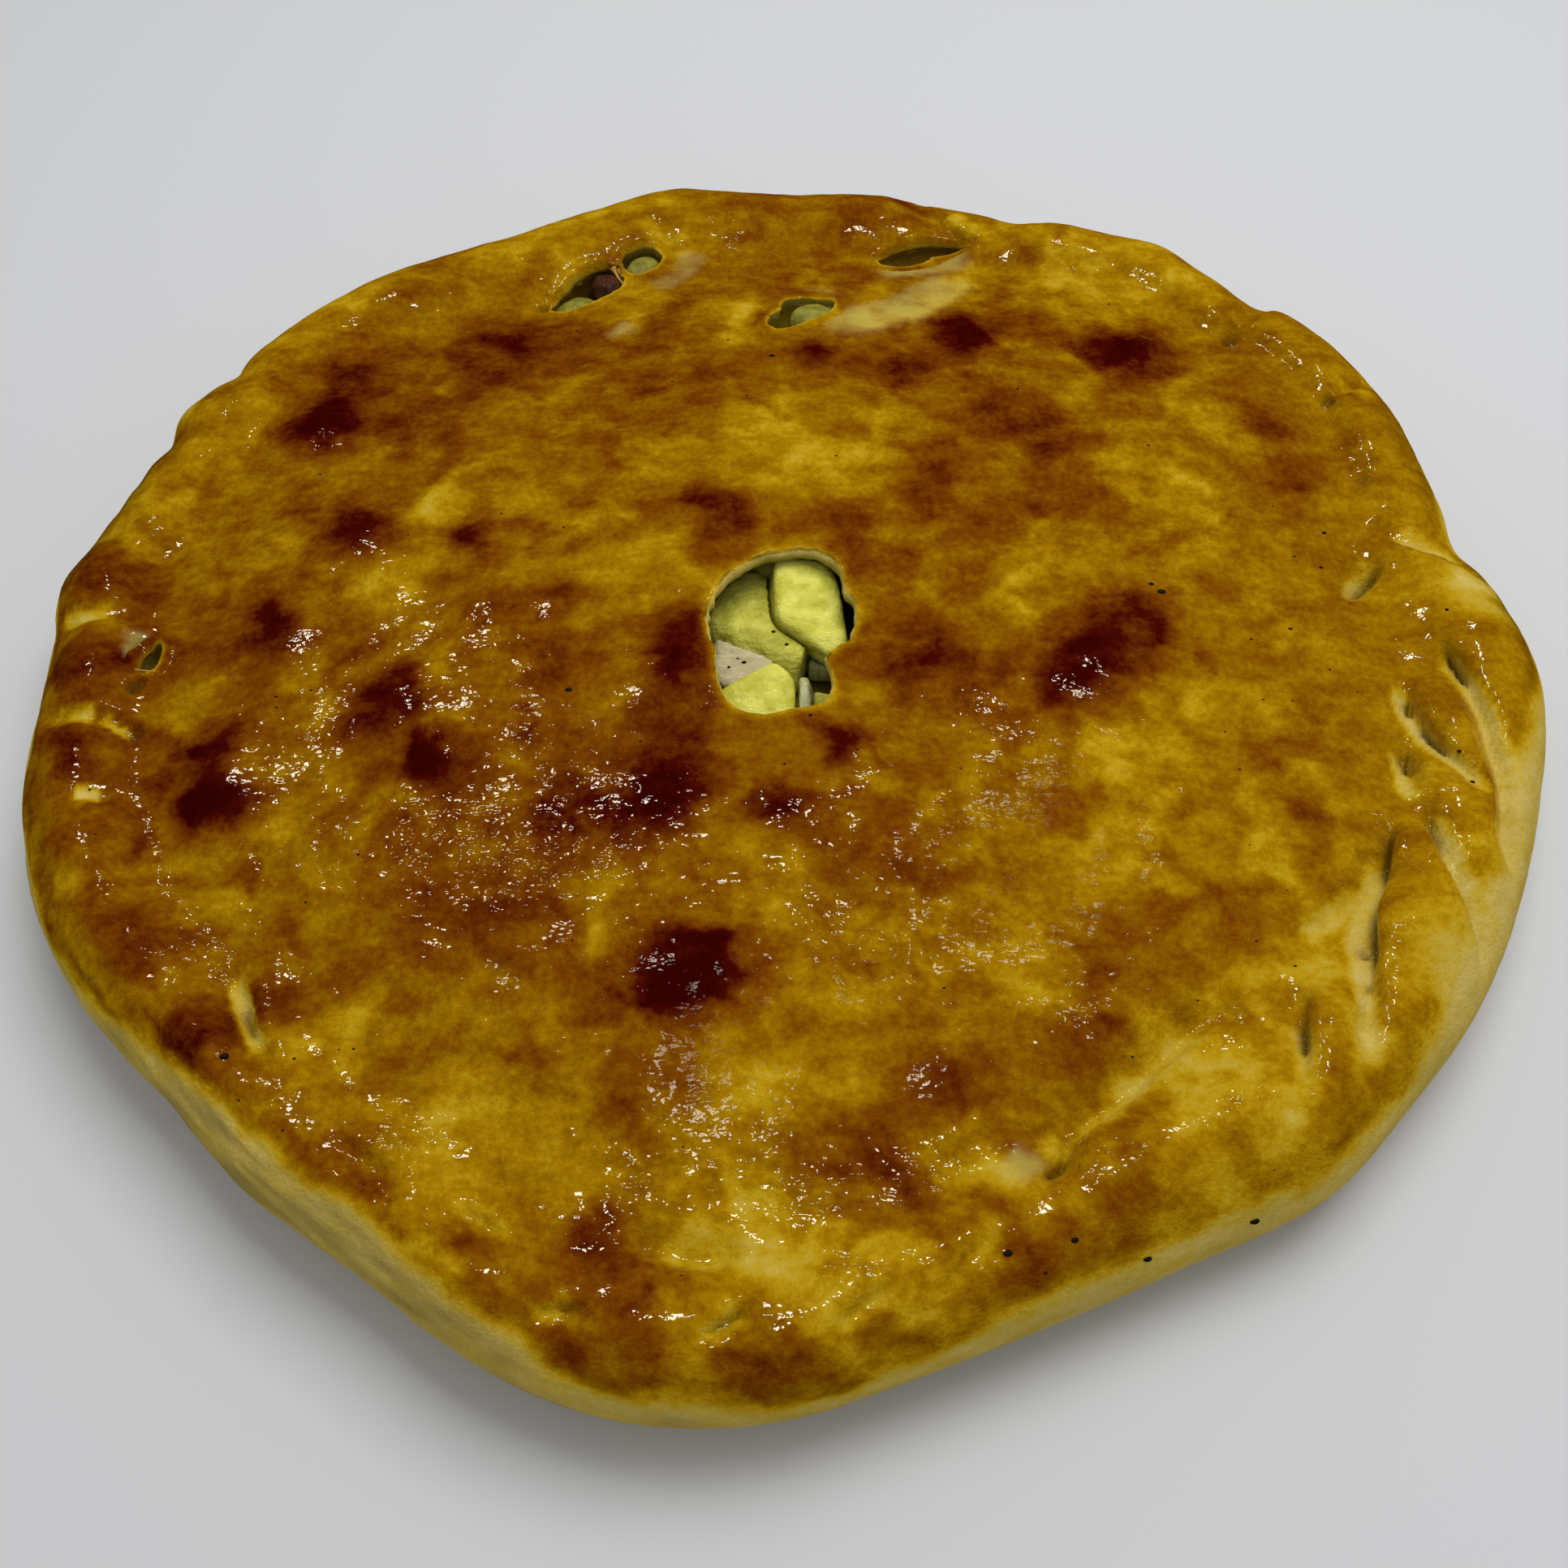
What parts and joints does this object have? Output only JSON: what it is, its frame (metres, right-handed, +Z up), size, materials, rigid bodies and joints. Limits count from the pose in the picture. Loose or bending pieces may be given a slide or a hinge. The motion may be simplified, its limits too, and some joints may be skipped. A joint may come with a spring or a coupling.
{
  "type": "chicken flatbread pie",
  "caption": "Whole round flatbread pie: browned bread crust with a pleated rolled edge, a steam hole in the lid and small tears at the far edge that show potato, chicken and onion filling.",
  "frame": {"origin": "on the flat base, straight under the middle of the steam hole", "axes": "+Z up, square to the base; +Y away from the side that faces the camera in the picture; +X to that camera's right"},
  "size_m": [0.3065, 0.3023, 0.0384],
  "materials": {
    "crust": "egg-washed bread crust, golden brown with dark blisters, glossy on top and pale and floury under the edge",
    "potato": "boiled potato stained yellow-green, moist",
    "chicken": "cooked chicken breast, pale pinkish grey with pepper specks",
    "onion": "cooked onion, translucent and wet",
    "dark_meat": "dark brown cooked meat in the shade of a tear"
  },
  "bodies": {
    "root": {"crust": "crust", "potato_a": "potato", "potato_b": "potato", "potato_c": "potato", "potato_d": "potato", "potato_e": "potato", "chicken_piece": "chicken", "onion_sliver": "onion", "onion_layer": "onion", "tear_onion": "onion", "tear_meat": "dark_meat", "tear_potato": "potato", "gap_potato": "potato", "gap_onion": "onion"}
  },
  "joints": []
}
